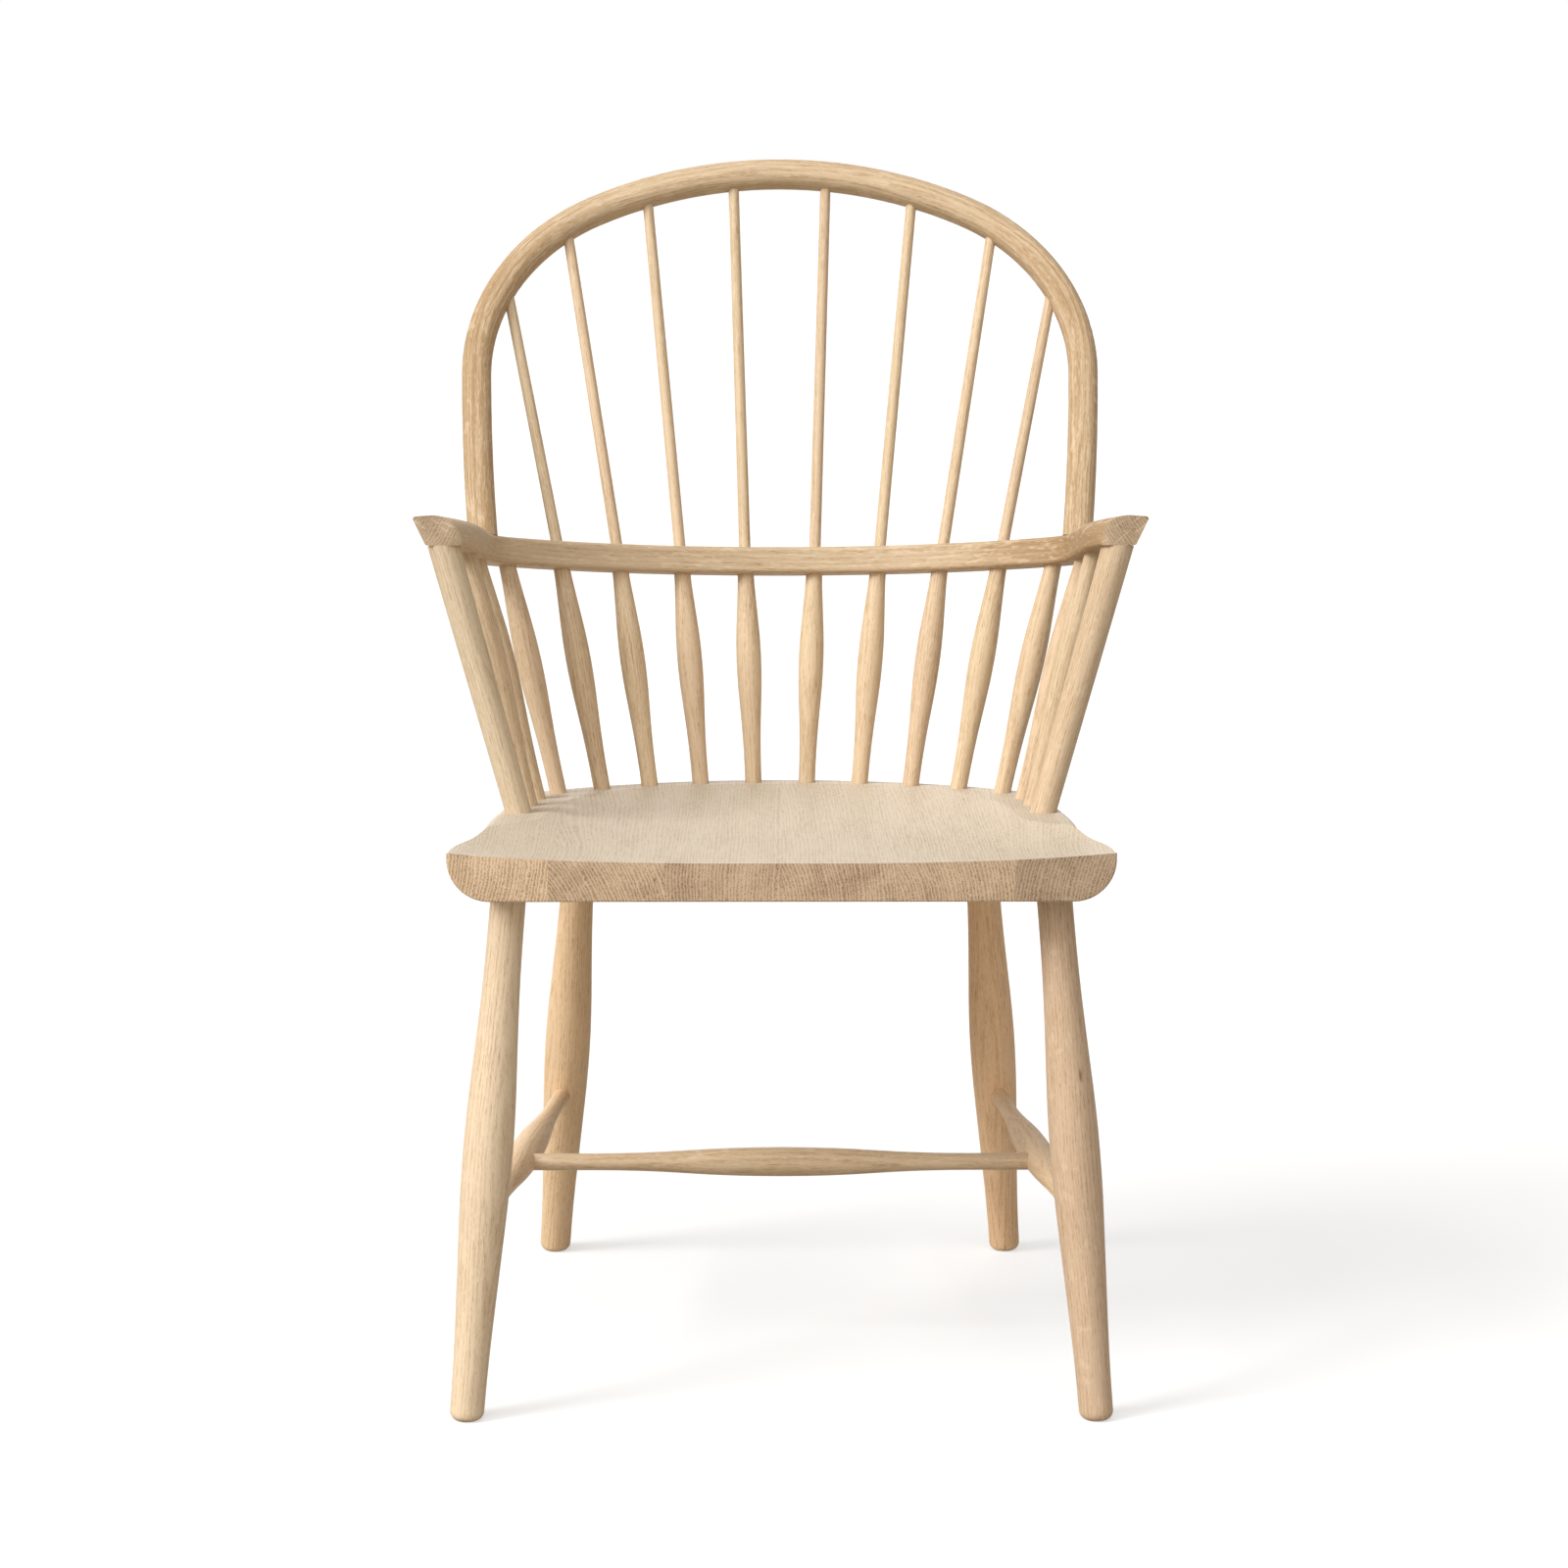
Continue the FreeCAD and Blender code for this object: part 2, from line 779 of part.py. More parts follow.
    # Seat staves, numbered from the sitter's right to the left
    seat = make_seat()
    both = sockets["seat"] + [mirrored(tool) for tool in sockets["seat"]]
    for index in range(stave_count):
        low = (index - stave_count / 2) * stave_width
        stave = seat
        if index > 0:
            stave = stave.cut(cutter(vector(low - cutter_side / 2, 0, 0)))
        if index < stave_count - 1:
            stave = stave.cut(cutter(vector(low + stave_width + cutter_side / 2, 0, 0)))
        stave.Placement = seat_frame
        for tool in both:
            if stave.BoundBox.intersect(tool.BoundBox):
                stave = stave.cut(tool)
        pieces["seat_stave_%d" % (index + 1)] = one_solid(stave)
    return pieces


def main():
    pieces = build()
    overall = FreeCAD.BoundBox()
    for shape in pieces.values():
        overall.add(shape.optimalBoundingBox(False, False))
    middle_y = (overall.YMin + overall.YMax) / 2
    os.makedirs("parts", exist_ok=True)
    for name, shape in pieces.items():
        moved = shape.copy()
        moved.translate(vector(0, -middle_y, 0))
        moved.exportStep("parts/%s.step" % name)
        print(name, shape.isValid(), len(shape.Solids), round(shape.Volume / 1000, 1))
    print("size", overall.XLength, overall.YLength, overall.ZLength, "middle", middle_y)


main()
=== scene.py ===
import math

import bpy
import numpy as np
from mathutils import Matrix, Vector

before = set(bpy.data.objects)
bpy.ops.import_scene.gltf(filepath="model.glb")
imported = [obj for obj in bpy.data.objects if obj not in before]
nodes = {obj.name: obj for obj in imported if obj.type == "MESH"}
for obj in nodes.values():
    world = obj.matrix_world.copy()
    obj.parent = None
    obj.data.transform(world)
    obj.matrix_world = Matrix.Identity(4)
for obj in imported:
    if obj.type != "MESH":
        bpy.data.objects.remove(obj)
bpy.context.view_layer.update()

# Bow-back windsor armchair in pale bare oak: finish, light and camera. Metres.

# Camera, at the photograph's height, distance and angle
camera_distance = 3.448
camera_height = 1.0458
camera_side = -0.0105
camera_down_degrees = 9.578
camera_turn_degrees = 0.2224
camera_lens_mm = 96.0
sensor_mm = 36.0

# Light
world_colour = (1.0, 0.90, 0.76, 1.0)
world_strength = 0.15
suns = [
    # Name, strength, direction, softness in degrees
    ("key", 1.97, (0.77, 0.42, -0.62), 22.0),
    ("broad", 1.98, (0.45, 0.70, -0.85), 80.0),
    ("fill", 0.42, (-0.40, 0.80, -0.35), 60.0),
    ("behind", 0.85, (0.10, -0.95, -0.25), 50.0),
]
floor_colour = (0.52, 0.52, 0.52, 1.0)
floor_bounce = (0.40, 0.36, 0.30, 1.0)
floor_lift = 0.55
floor_size = 60.0

# Centre lines of the two bent pieces: run, and the radius of its bend
rail_centre_y = 0.1704
rail_centre_height = 0.6315
rail_tilt_degrees = 11.9
rail_runs = [(0.2559, 0.355), (0.0507, 0.065), (0.060, None), (0.090, -0.200)]
bow_top_y = 0.2737
bow_top_height = 0.9624
bow_rake_degrees = 35.2
bow_runs = [(0.1687, 0.358), (0.2029, 0.180), (0.1591, 2.306), (0.020, None)]
spine_step = 0.002

seat_tilt_degrees = 2.86
seat_front_height = 0.465

# Small knots, in millimetres along the axes of the piece's own grain
no_knot = (0.0, 0.0, 9000.0)
knots = {
    "leg_front_left": (-8.7, 16.2, 55.0),
    "seat_stave_2": (37.2, -41.9, -284.3),
}
knot_scale = (0.62, 0.62, 0.17)
knot_fade = (0.25, 1.3)
knot_strength = 0.75
knot_colour = (0.17, 0.09, 0.045, 1.0)

# Scale of each noise in the wood, to the millimetre, across and along the fibres
wander_grain = (0.016, 0.0028)
jitter_grain = (0.35, 0.02)
pore_grain = (1.25, 0.085)
streak_grain = (1.0, 0.024)
tone_grain = (0.045, 0.009)
fleck_grain = (1.8, 0.20)
dot_grain = (1.15, 0.3)
seed_shift = (17.3, 41.9, 0.0)

# Rings: how uneven they are, and where in a ring the wood darkens and lightens again
ring_change = 0.31
ring_unevenness = 2.2
ring_jitter = 0.9
early_rise = (0.0, 0.10)
early_fall = (0.28, 0.75)
band_rise = (0.0, 0.16)
band_fall = (0.58, 0.80)

# How much streaks, flecks and broad changes of tone lighten or darken the wood
streak_strength = 1.5
fleck_strength = 1.2
tone_strength = 0.7
end_tone_strength = 1.2

# Pores: the noise level at which they start and are full, and their share over a ring
pore_edge = (0.52, 0.70)
pore_least = 0.3
pore_more_in_early = 0.7
dot_edge = (0.46, 0.60)
dot_least = 0.35
dot_more = 0.8

# How squarely the surface cuts the fibres where end grain starts and is full
end_edge = (0.40, 0.90)

# Rays round the pith: steps round it, away from it and along it, and their colour
ray_steps = (0.55, 0.03, 0.08)
ray_edge = (0.60, 0.66)
ray_colour = (0.80, 0.64, 0.46, 1.0)

# Where the change towards the ends of a bent piece starts and is full, in millimetres: the wood's
# own tone, and on the arm rail also painted shade and painted light
shade_start = 120.0
shade_full = 330.0

roughness_least = 0.56
roughness_streaks = 0.12
bump_streaks = 0.4
bump_strength = 0.35
bump_distance = 0.0003
specular_level = 0.3


def vertices_of(piece):
    flat = np.empty(len(piece.data.vertices) * 3, np.float32)
    piece.data.vertices.foreach_get("co", flat)
    return flat.reshape(-1, 3).astype(float)


def keep_vectors(piece, name, values):
    # A vector for each vertex, which the material reads by its name
    attribute = piece.data.attributes.new(name, "FLOAT_VECTOR", "POINT")
    attribute.data.foreach_set("vector", values.astype(np.float32).ravel())


def grain_along_axis(piece):
    # Straight pieces: the grain runs along the piece's own long axis
    points = vertices_of(piece)
    low = points.min(axis=0)
    high = points.max(axis=0)
    centre = (low + high) / 2
    spread = (points - points.mean(axis=0)).T @ (points - points.mean(axis=0))
    axis = np.linalg.eigh(spread)[1][:, -1]
    axis = axis * np.sign(axis[np.argmax(np.abs(axis))])
    aside = np.cross(axis, (0.0, 1.0, 0.0) if abs(axis[1]) < 0.7 else (0.0, 0.0, 1.0))
    aside = aside / np.linalg.norm(aside)
    third = np.cross(axis, aside)
    local = (points - centre) @ np.array([aside, third, axis]).T
    keep_vectors(piece, "grain", local)
    keep_vectors(piece, "fibre", np.tile(axis, (len(points), 1)))


def grain_front_to_back(piece):
    # Seat staves: the grain runs from the front edge to the back
    points = vertices_of(piece)
    tilt = math.radians(seat_tilt_degrees)
    axis = np.array([0.0, math.cos(tilt), -math.sin(tilt)])
    up = np.array([0.0, math.sin(tilt), math.cos(tilt)])
    aside = np.array([1.0, 0.0, 0.0])
    middle_x = (points[:, 0].min() + points[:, 0].max()) / 2
    centre = np.array([middle_x, 0.0, seat_front_height])
    local = (points - centre) @ np.array([aside, up, axis]).T
    keep_vectors(piece, "grain", local)
    keep_vectors(piece, "fibre", np.tile(axis, (len(points), 1)))


def spine_of(runs):
    # Points and headings every few millimetres along straight and bent runs
    places = []
    x, y, heading = 0.0, 0.0, 0.0
    for length, radius in runs:
        steps = max(1, round(length / spine_step))
        turn = 0.0 if radius is None else length / steps / radius
        for step in range(steps):
            places.append((x, y, heading))
            middle = heading + turn / 2
            x += length / steps * math.cos(middle)
            y -= length / steps * math.sin(middle)
            heading += turn
    return np.array(places), sum(length for length, radius in runs)


def grain_along_bend(piece, runs, origin, across, square):
    # Bent pieces: the grain follows the centre line, which lies in one plane.
    # The plane holds +X and the direction across, and square stands on it.
    points = vertices_of(piece) - np.array(origin)
    side = np.where(points[:, 0] < 0, -1.0, 1.0)
    flat = np.stack([np.abs(points[:, 0]), points @ across], axis=1)
    places, length = spine_of(runs)
    gaps = ((flat[:, None, :] - places[None, :, :2]) ** 2).sum(axis=2)
    index = gaps.argmin(axis=1)
    nearest = places[index]
    along = np.stack([np.cos(nearest[:, 2]), -np.sin(nearest[:, 2])], axis=1)
    outward = np.stack([np.sin(nearest[:, 2]), np.cos(nearest[:, 2])], axis=1)
    offset = flat - nearest[:, :2]
    distance = index * length / len(places) + (offset * along).sum(axis=1)
    local = np.stack([(offset * outward).sum(axis=1), points @ square, side * distance], axis=1)
    keep_vectors(piece, "grain", local)
    fibre = np.outer(side * along[:, 0], (1.0, 0.0, 0.0)) + np.outer(along[:, 1], across)
    keep_vectors(piece, "fibre", fibre)


class Graph:
    # Short ways to add nodes to a material or group
    def __init__(self, tree):
        self.tree = tree

    def add(self, kind, inputs=None, **settings):
        node = self.tree.nodes.new(kind)
        for name, value in settings.items():
            setattr(node, name, value)
        for name, value in (inputs or {}).items():
            self.put(node.inputs[name], value)
        return node

    def put(self, socket, value):
        if isinstance(value, bpy.types.NodeSocket):
            self.tree.links.new(value, socket)
        else:
            socket.default_value = value

    def math(self, operation, first, second=0.0):
        node = self.add("ShaderNodeMath", operation=operation)
        self.put(node.inputs[0], first)
        self.put(node.inputs[1], second)
        return node.outputs[0]

    def vector(self, operation, first, second=(0.0, 0.0, 0.0)):
        node = self.add("ShaderNodeVectorMath", operation=operation)
        self.put(node.inputs[0], first)
        self.put(node.inputs[1], second)
        return node.outputs["Value" if operation in ("LENGTH", "DOT_PRODUCT") else "Vector"]

    def noise(self, vector, detail=2.0, roughness=0.5):
        inputs = {"Vector": vector, "Scale": 1.0, "Detail": detail, "Roughness": roughness}
        return self.add("ShaderNodeTexNoise", inputs).outputs["Fac"]

    def ramp(self, value, low, high):
        # Smooth step from 0 at low to 1 at high
        inputs = {"Value": value, "From Min": low, "From Max": high}
        node = self.add("ShaderNodeMapRange", inputs, interpolation_type="SMOOTHSTEP")
        return node.outputs["Result"]

    def mix(self, share, first, second):
        node = self.add("ShaderNodeMix", data_type="RGBA")
        self.put(node.inputs[0], share)
        self.put(node.inputs[6], first)
        self.put(node.inputs[7], second)
        return node.outputs[2]


def add_oak_sockets(tree):
    sockets = [
        ("Seed", "NodeSocketFloat", 0.0),
        ("Pith across", "NodeSocketFloat", 90.0),
        ("Pith up", "NodeSocketFloat", 40.0),
        ("Ring width", "NodeSocketFloat", 3.0),
        ("Ring strength", "NodeSocketFloat", 0.4),
        ("Wander", "NodeSocketFloat", 14.0),
        ("Pore strength", "NodeSocketFloat", 0.5),
        ("Ray strength", "NodeSocketFloat", 0.3),
        ("End strength", "NodeSocketFloat", 0.6),
        ("Knot place", "NodeSocketVector", no_knot),
        ("Left shade", "NodeSocketFloat", 0.0),
        ("Right shade", "NodeSocketFloat", 0.0),
        ("Light", "NodeSocketColor", (0.70, 0.52, 0.33, 1.0)),
        ("Dark", "NodeSocketColor", (0.46, 0.30, 0.17, 1.0)),
        ("End light", "NodeSocketColor", (0.66, 0.48, 0.31, 1.0)),
        ("End dark", "NodeSocketColor", (0.34, 0.22, 0.13, 1.0)),
    ]
    for name, kind, value in sockets:
        socket = tree.interface.new_socket(name, in_out="INPUT", socket_type=kind)
        socket.default_value = value
    tree.interface.new_socket("Colour", in_out="OUTPUT", socket_type="NodeSocketColor")
    tree.interface.new_socket("Roughness", in_out="OUTPUT", socket_type="NodeSocketFloat")
    tree.interface.new_socket("Height", in_out="OUTPUT", socket_type="NodeSocketFloat")


class OakGraph(Graph):
    # Solid oak in millimetres: growth rings round a pith, pores, rays and fibre streaks
    def __init__(self, tree):
        super().__init__(tree)
        self.given = self.add("NodeGroupInput").outputs
        place = self.add("ShaderNodeAttribute", attribute_name="grain").outputs["Vector"]
        self.place = self.vector("MULTIPLY", place, (1000.0, 1000.0, 1000.0))
        self.along = self.add("ShaderNodeSeparateXYZ", {"Vector": self.place}).outputs["Z"]
        self.seed = self.vector("MULTIPLY", self.flat("Seed", "Seed"), seed_shift)

    def flat(self, first, second):
        # Two of the group's values as a vector across the fibres
        inputs = {"X": self.given[first], "Y": self.given[second]}
        return self.add("ShaderNodeCombineXYZ", inputs).outputs[0]

    def stretched(self, across, along):
        scaled = self.vector("MULTIPLY", self.place, (across, across, along))
        return self.vector("ADD", scaled, self.seed)

    def between(self, value, rise, fall):
        # 1 after a rise and before a fall, each given by where it starts and ends
        falling = self.math("SUBTRACT", 1.0, self.ramp(value, *fall))
        return self.math("MULTIPLY", self.ramp(value, *rise), falling)

    def swing(self, value, strength):
        # A noise as a change up or down
        return self.math("MULTIPLY", self.math("SUBTRACT", value, 0.5), strength)

    def make_rings(self):
        # Distance from the pith, which wanders along the piece, in uneven rings
        wander = self.add("ShaderNodeTexNoise", {
            "Vector": self.stretched(*wander_grain), "Scale": 1.0, "Detail": 2.0}).outputs["Color"]
        wander = self.vector("SUBTRACT", wander, (0.5, 0.5, 0.5))
        wander = self.vector("MULTIPLY", wander, self.flat("Wander", "Wander"))
        self.pith = self.flat("Pith across", "Pith up")
        from_pith = self.vector("SUBTRACT", self.vector("ADD", self.place, wander), self.pith)
        self.from_pith = self.vector("MULTIPLY", from_pith, (1.0, 1.0, 0.0))
        self.radius = self.vector("LENGTH", self.from_pith)
        rings = self.math("DIVIDE", self.radius, self.given["Ring width"])
        uneven = self.noise(self.add("ShaderNodeCombineXYZ", {
            "X": self.math("MULTIPLY", rings, ring_change), "Y": self.given["Seed"]}).outputs[0])
        rings = self.math("ADD", rings, self.math("MULTIPLY", uneven, ring_unevenness))
        jitter = self.noise(self.stretched(*jitter_grain), 2.0)
        rings = self.math("ADD", rings, self.math("MULTIPLY", jitter, ring_jitter))
        self.phase = self.math("FRACT", rings)
        self.early = self.between(self.phase, early_rise, early_fall)

    def make_pores(self):
        # Short dark dashes along the grain, mostly in the early wood
        pores = self.ramp(self.noise(self.stretched(*pore_grain), 3.0, 0.6), *pore_edge)
        porous = self.math("MULTIPLY", self.early, pore_more_in_early)
        porous = self.math("ADD", porous, pore_least)
        self.pores = self.math("MULTIPLY", pores, porous)

    def make_tones(self):
        # Streaks of fibre, broad changes of tone and fine flecks
        self.streaks = self.noise(self.stretched(*streak_grain), 4.0, 0.65)
        self.tone = self.noise(self.stretched(*tone_grain), 2.0)
        self.fleck_share = self.swing(self.noise(self.stretched(*fleck_grain), 1.0), fleck_strength)

    def end_tone_and_painted_shade(self):
        # Darker or lighter towards the two ends of a long piece: on the bow the wood's own tone; on
        # the arm rail partly its tone, partly painted shade at the +X end and painted light on the
        # -X end
        left = self.ramp(self.along, shade_start, shade_full)
        right = self.ramp(self.along, -shade_start, -shade_full)
        return self.math("ADD", self.math("MULTIPLY", left, self.given["Left shade"]),
                         self.math("MULTIPLY", right, self.given["Right shade"]))

    def long_colour(self):
        # Along the grain: light wood with darker rings, pores and streaks
        ring_share = self.math("MULTIPLY", self.early, self.given["Ring strength"])
        pore_share = self.math("MULTIPLY", self.pores, self.given["Pore strength"])
        streak_share = self.swing(self.streaks, streak_strength)
        tone_share = self.swing(self.tone, tone_strength)
        share = self.math("ADD", self.math("ADD", ring_share, pore_share),
                          self.math("ADD", streak_share, tone_share))
        share = self.math("ADD", share, self.fleck_share)
        share = self.math("ADD", share, self.end_tone_and_painted_shade())
        share = self.add("ShaderNodeClamp", {"Value": share}).outputs[0]
        return self.mix(share, self.given["Light"], self.given["Dark"])

    def end_colour(self):
        # Across the grain: brown rings with rows of open pores between thin light lines
        band = self.between(self.phase, band_rise, band_fall)
        dots = self.ramp(self.noise(self.stretched(*dot_grain), 1.0), *dot_edge)
        dotted = self.math("ADD", self.math("MULTIPLY", dots, dot_more), dot_least)
        band = self.math("MULTIPLY", band, dotted)
        share = self.math("ADD", self.math("MULTIPLY", band, self.given["End strength"]),
                          self.swing(self.tone, end_tone_strength))
        share = self.math("ADD", share, self.fleck_share)
        share = self.add("ShaderNodeClamp", {"Value": share}).outputs[0]
        return self.mix(share, self.given["End light"], self.given["End dark"])

    def end_grain(self):
        # 1 where the surface cuts across the fibres, 0 where it runs along them
        fibre = self.add("ShaderNodeAttribute", attribute_name="fibre").outputs["Vector"]
        normal = self.add("ShaderNodeNewGeometry").outputs["Normal"]
        facing = self.math("ABSOLUTE", self.vector("DOT_PRODUCT", normal, fibre))
        return self.ramp(facing, *end_edge)

    def with_rays(self, colour):
        # Thin light sheets that stand out from the pith
        parts = self.add("ShaderNodeSeparateXYZ", {"Vector": self.from_pith}).outputs
        angle = self.math("ARCTAN2", parts["Y"], parts["X"])
        way_round = self.math("MULTIPLY", angle, self.vector("LENGTH", self.pith))
        way_round = self.math("MULTIPLY", way_round, ray_steps[0])
        place = self.add("ShaderNodeCombineXYZ", {
            "X": self.math("ADD", way_round, self.given["Seed"]),
            "Y": self.math("MULTIPLY", self.radius, ray_steps[1]),
            "Z": self.math("MULTIPLY", self.along, ray_steps[2])}).outputs[0]
        rays = self.ramp(self.noise(place, 1.0), *ray_edge)
        share = self.math("MULTIPLY", rays, self.given["Ray strength"])
        return self.mix(share, colour, ray_colour)

    def with_knot(self, colour):
        # A small knot: a dark spot drawn out along the grain
        away = self.vector("SUBTRACT", self.place, self.given["Knot place"])
        away = self.vector("LENGTH", self.vector("MULTIPLY", away, knot_scale))
        knot = self.math("SUBTRACT", 1.0, self.ramp(away, *knot_fade))
        return self.mix(self.math("MULTIPLY", knot, knot_strength), colour, knot_colour)


def make_oak_group():
    tree = bpy.data.node_groups.new("oak", "ShaderNodeTree")
    add_oak_sockets(tree)
    wood = OakGraph(tree)
    wood.make_rings()
    wood.make_pores()
    wood.make_tones()
    colour = wood.mix(wood.end_grain(), wood.long_colour(), wood.end_colour())
    colour = wood.with_knot(wood.with_rays(colour))
    result = wood.add("NodeGroupOutput")
    wood.put(result.inputs["Colour"], colour)
    roughness = wood.math("MULTIPLY", wood.streaks, roughness_streaks)
    roughness = wood.math("ADD", roughness, roughness_least)
    wood.put(result.inputs["Roughness"], roughness)
    height = wood.math("SUBTRACT", wood.math("MULTIPLY", wood.streaks, bump_streaks), wood.pores)
    wood.put(result.inputs["Height"], height)
    return tree


oak_group = make_oak_group()

light_oak = (0.71, 0.56, 0.385)
dark_oak = (0.44, 0.29, 0.15)
end_light_oak = (0.61, 0.445, 0.292)
end_dark_oak = (0.24, 0.15, 0.082)
seat_light = (0.645, 0.545, 0.42)
seat_dark = (0.395, 0.30, 0.203)


def oak(name, seed, **look):
    # A material for one piece, cut from its own place in the log
    material = bpy.data.materials.new(name)
    material.use_nodes = True
    material.node_tree.nodes.clear()
    graph = Graph(material.node_tree)
    tint = look.pop("tint", (1.0, 1.0, 1.0))
    wood = graph.add("ShaderNodeGroup", node_tree=oak_group, name="wood")
    wood.inputs["Seed"].default_value = seed
    light = [a * b for a, b in zip(look.pop("light", light_oak), tint)]
    dark = [a * b for a, b in zip(look.pop("dark", dark_oak), tint)]
    end_level = look.pop("end_level", 1.0)
    wood.inputs["Light"].default_value = (*light, 1.0)
    wood.inputs["Dark"].default_value = (*dark, 1.0)
    wood.inputs["End light"].default_value = (*[v * end_level for v in end_light_oak], 1.0)
    wood.inputs["End dark"].default_value = (*[v * end_level for v in end_dark_oak], 1.0)
    for socket, value in look.items():
        wood.inputs[socket.replace("_", " ").capitalize()].default_value = value
    bump = graph.add("ShaderNodeBump", {"Height": wood.outputs["Height"]})
    bump.inputs["Strength"].default_value = bump_strength
    bump.inputs["Distance"].default_value = bump_distance
    shader = graph.add("ShaderNodeBsdfPrincipled", {
        "Base Color": wood.outputs["Colour"],
        "Roughness": wood.outputs["Roughness"],
        "Normal": bump.outputs["Normal"],
    })
    shader.inputs["Specular IOR Level"].default_value = specular_level
    output = graph.add("ShaderNodeOutputMaterial")
    graph.put(output.inputs["Surface"], shader.outputs["BSDF"])
    return material


def wear(piece, material):
    for slot in piece.material_slots:
        slot.material = material


def tilted_axes(degrees):
    # Directions towards the back along a plane that falls to the back, and up from it
    angle = math.radians(degrees)
    back = np.array([0.0, math.cos(angle), -math.sin(angle)])
    up = np.array([0.0, math.sin(angle), math.cos(angle)])
    return back, up


def dress_seat():
    # Each stave has its own rings: where its pith lies, and how dark its front is
    staves = [
        (-170.0, -12.0, 1.24), (-105.0, -95.0, 1.02), (170.0, -50.0, 0.96),
        (-150.0, -70.0, 0.96), (-105.0, -70.0, 0.98), (150.0, -80.0, 0.76),
    ]
    for index, (across, up, end_level) in enumerate(staves):
        name = "seat_stave_%d" % (index + 1)
        piece = nodes[name]
        grain_front_to_back(piece)
        material = oak("oak_" + name, 3.7 * index + 1.3, pith_across=across, pith_up=up,
                       ring_width=2.7, ring_strength=0.30, wander=7.0, pore_strength=0.40,
                       ray_strength=0.10, end_strength=0.8, light=seat_light, dark=seat_dark,
                       end_level=end_level, knot_place=knots.get(name, no_knot))
        wear(piece, material)


def dress_turned():
    # Each piece comes from its own place in the log, and some have a tint of their own: partly the
    # wood's own tone, partly painted light, lighter back legs in the shade under the seat, and
    # darker front left leg and cross stretcher as painted shade
    tone_and_painted_light_tints = {
        "leg_back_left": (1.33, 1.15, 1.02),
        "leg_back_right": (1.18, 1.08, 0.98),
        "leg_front_left": (0.87, 0.80, 0.79),
        "leg_front_right": (1.10, 1.10, 1.12),
        "side_stretcher_left": (1.12, 1.03, 0.95),
        "side_stretcher_right": (1.14, 1.06, 0.98),
        "cross_stretcher": (0.89, 0.85, 0.81),
        "arm_post_left": (0.91, 0.88, 0.86),
        "arm_post_right": (0.98, 1.0, 1.02),
    }
    names = [name for name in sorted(nodes)
             if not name.startswith("seat") and name not in ("arm_rail", "bow")]
    for index, name in enumerate(names):
        piece = nodes[name]
        grain_along_axis(piece)
        turn = 2.4 * index
        reach = 60.0 + 23.0 * (index % 5)
        level = 0.96 - 0.06 * ((index * 7) % 4) / 3
        tint = tone_and_painted_light_tints.get(name, (level * 1.02, level * (1.0 - 0.012 * (index % 3)), level * 0.95))
        material = oak("oak_" + name, 11.0 + 2.9 * index,
                       pith_across=reach * math.cos(turn), pith_up=reach * math.sin(turn),
                       ring_width=2.2 + 0.3 * (index % 4), ring_strength=0.25,
                       pore_strength=0.62, ray_strength=0.25, tint=tint,
                       knot_place=knots.get(name, no_knot))
        wear(piece, material)


def dress_bent():
    back, up = tilted_axes(rail_tilt_degrees)
    rail = nodes["arm_rail"]
    grain_along_bend(rail, rail_runs, (0.0, rail_centre_y, rail_centre_height), back, up)
    # Arm rail: painted shade darkens its +X end, partly as the wood's own tone, and painted light
    # lifts its -X end, whose inner face is turned away from the key light
    wear(rail, oak("oak_arm_rail", 5.1, pith_across=95.0, pith_up=55.0, ring_width=2.3,
                   ring_strength=0.26, pore_strength=0.62, tint=(0.82, 0.79, 0.75),
                   end_level=0.80, left_shade=0.9, right_shade=-0.3))
    back, up = tilted_axes(bow_rake_degrees)
    bow = nodes["bow"]
    grain_along_bend(bow, bow_runs, (0.0, bow_top_y, bow_top_height), up, -back)
    wear(bow, oak("oak_bow", 8.3, pith_across=-30.0, pith_up=85.0, ring_width=2.4,
                  pore_strength=0.65, tint=(0.88, 0.84, 0.79), left_shade=0.3, right_shade=0.5))


def seen_share(graph):
    # 1 for what the camera sees, also in gloss and through glass, and 0 for other rays
    path = graph.add("ShaderNodeLightPath").outputs
    seen = graph.math("MAXIMUM", path["Is Camera Ray"], path["Is Glossy Ray"])
    return graph.math("MAXIMUM", seen, path["Is Transmission Ray"])


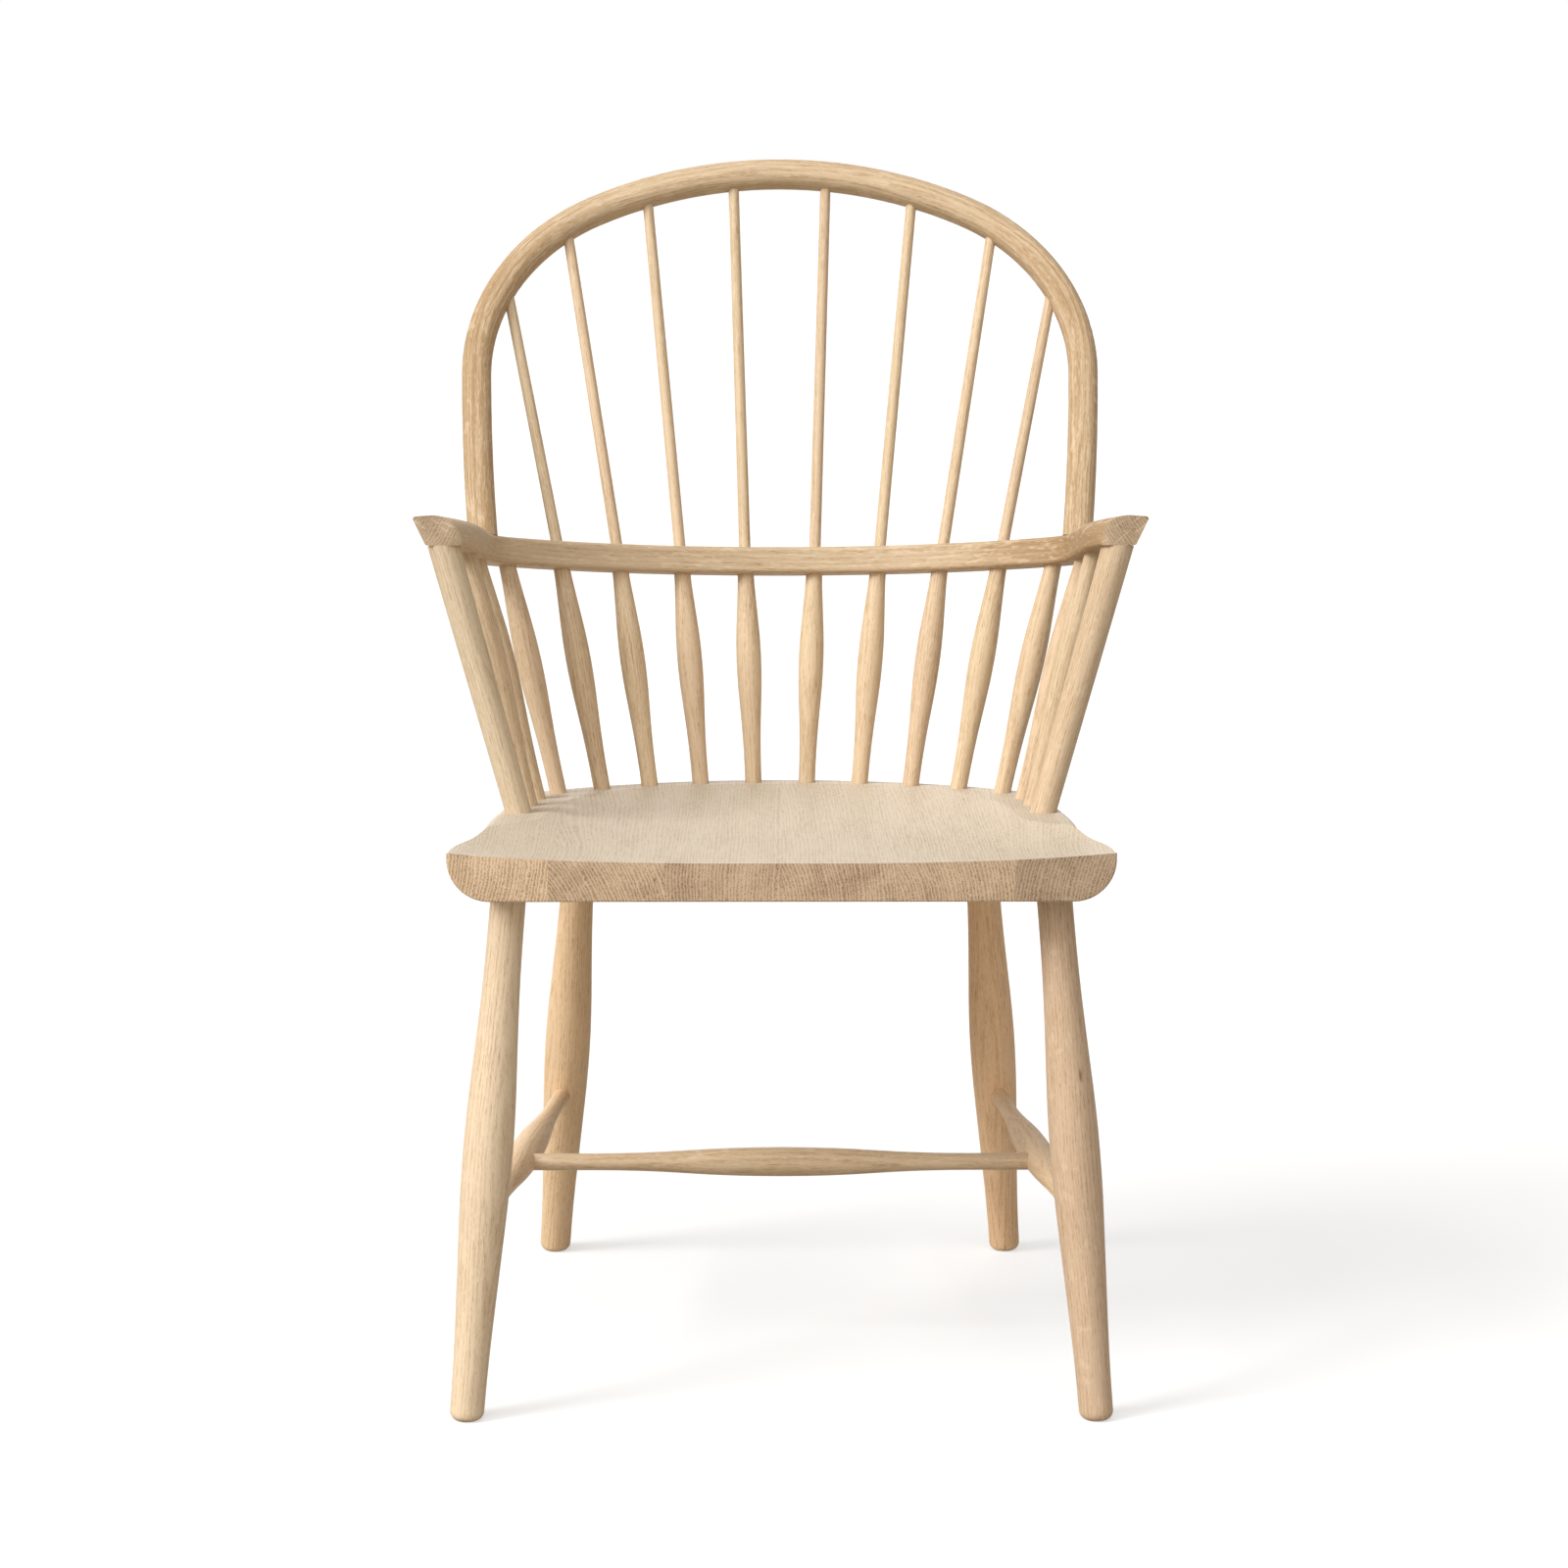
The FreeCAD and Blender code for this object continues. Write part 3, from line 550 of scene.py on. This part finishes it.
def make_floor():
    half = floor_size / 2
    mesh = bpy.data.meshes.new("floor")
    corners = [(-half, -half, 0.0), (half, -half, 0.0), (half, half, 0.0), (-half, half, 0.0)]
    mesh.from_pydata(corners, [], [(0, 1, 2, 3)])
    floor = bpy.data.objects.new("floor", mesh)
    bpy.context.scene.collection.objects.link(floor)
    material = bpy.data.materials.new("floor_white")
    material.use_nodes = True
    material.node_tree.nodes.clear()
    graph = Graph(material.node_tree)
    seen = seen_share(graph)
    colour = graph.mix(seen, floor_bounce, floor_colour)
    diffuse = graph.add("ShaderNodeBsdfDiffuse", {"Color": colour})
    lift = graph.math("MULTIPLY", seen, floor_lift)
    glow = graph.add("ShaderNodeEmission", {"Strength": lift})
    both = graph.add("ShaderNodeAddShader")
    graph.put(both.inputs[0], diffuse.outputs[0])
    graph.put(both.inputs[1], glow.outputs[0])
    output = graph.add("ShaderNodeOutputMaterial")
    graph.put(output.inputs["Surface"], both.outputs[0])
    mesh.materials.append(material)


def make_world():
    world = bpy.data.worlds.new("studio")
    bpy.context.scene.world = world
    world.use_nodes = True
    world.node_tree.nodes.clear()
    graph = Graph(world.node_tree)
    seen = seen_share(graph)
    colour = graph.mix(seen, world_colour, (1.0, 1.0, 1.0, 1.0))
    extra = graph.math("MULTIPLY", seen, 1.0 - world_strength)
    strength = graph.math("ADD", extra, world_strength)
    background = graph.add("ShaderNodeBackground", {"Color": colour, "Strength": strength})
    output = graph.add("ShaderNodeOutputWorld")
    graph.put(output.inputs["Surface"], background.outputs[0])


def make_sun(name, strength, direction, softness_degrees):
    data = bpy.data.lights.new(name, "SUN")
    data.energy = strength
    data.angle = math.radians(softness_degrees)
    lamp = bpy.data.objects.new(name, data)
    bpy.context.scene.collection.objects.link(lamp)
    lamp.rotation_euler = Vector(direction).to_track_quat("-Z", "Y").to_euler()


def make_camera():
    data = bpy.data.cameras.new("camera")
    data.lens = camera_lens_mm
    data.sensor_width = sensor_mm
    data.clip_end = 200.0
    camera = bpy.data.objects.new("camera", data)
    bpy.context.scene.collection.objects.link(camera)
    camera.location = (camera_side, -camera_distance, camera_height)
    tip = math.radians(90.0 - camera_down_degrees)
    camera.rotation_euler = (tip, 0.0, -math.radians(camera_turn_degrees))
    bpy.context.scene.camera = camera


dress_seat()
dress_turned()
dress_bent()
make_floor()
make_world()
for sun in suns:
    make_sun(*sun)
make_camera()
bpy.context.scene.view_settings.view_transform = "Standard"
